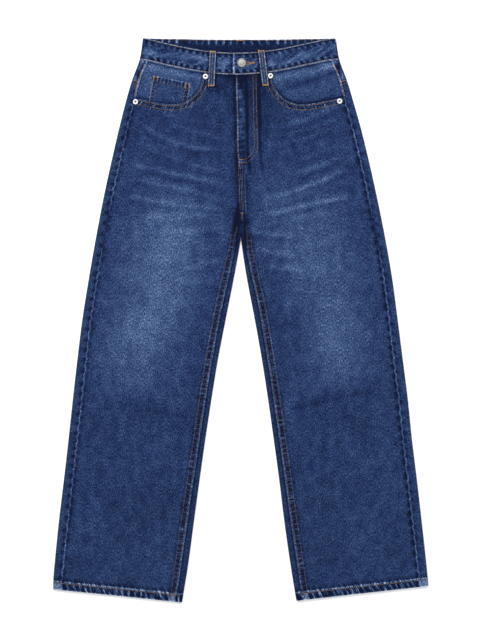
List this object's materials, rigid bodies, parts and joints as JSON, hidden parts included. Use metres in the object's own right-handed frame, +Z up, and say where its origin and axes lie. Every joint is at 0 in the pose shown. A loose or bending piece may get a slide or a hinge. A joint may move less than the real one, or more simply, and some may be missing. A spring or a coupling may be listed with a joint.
{
  "type": "baggy jeans",
  "caption": "Baggy five-pocket denim jeans laid flat on their back, wide straight legs spread, waistband closed by a metal button.",
  "frame": {"origin": "centre of the flat garment's box, on the surface it lies on", "axes": "+X to the wearer's left, +Y from the hems towards the waist, +Z up out of the front"},
  "size_m": [0.6942, 1.044, 0.0141],
  "materials": {
    "denim": "mid-blue cotton twill denim, washed and faded",
    "denim_trim": "two layers of cotton twill denim, edges roped pale",
    "thread": "matt tan and dark blue cotton sewing thread",
    "metal": "satin silver"
  },
  "bodies": {
    "root": {"front_panel_right": "denim", "front_panel_left": "denim", "back_panel_right": "denim", "back_panel_left": "denim", "yoke_right": "denim", "yoke_left": "denim", "pocket_facing_right": "denim", "pocket_facing_left": "denim", "coin_pocket": "denim", "back_pocket_right": "denim", "back_pocket_left": "denim", "waistband": "denim_trim", "belt_loop_front_right": "denim_trim", "belt_loop_front_left": "denim_trim", "belt_loop_back_right": "denim_trim", "belt_loop_back_left": "denim_trim", "belt_loop_centre_back": "denim_trim", "waist_button": "metal", "rivet_right_inner": "metal", "rivet_left_inner": "metal", "rivet_right_outer": "metal", "rivet_left_outer": "metal"}
  },
  "joints": []
}
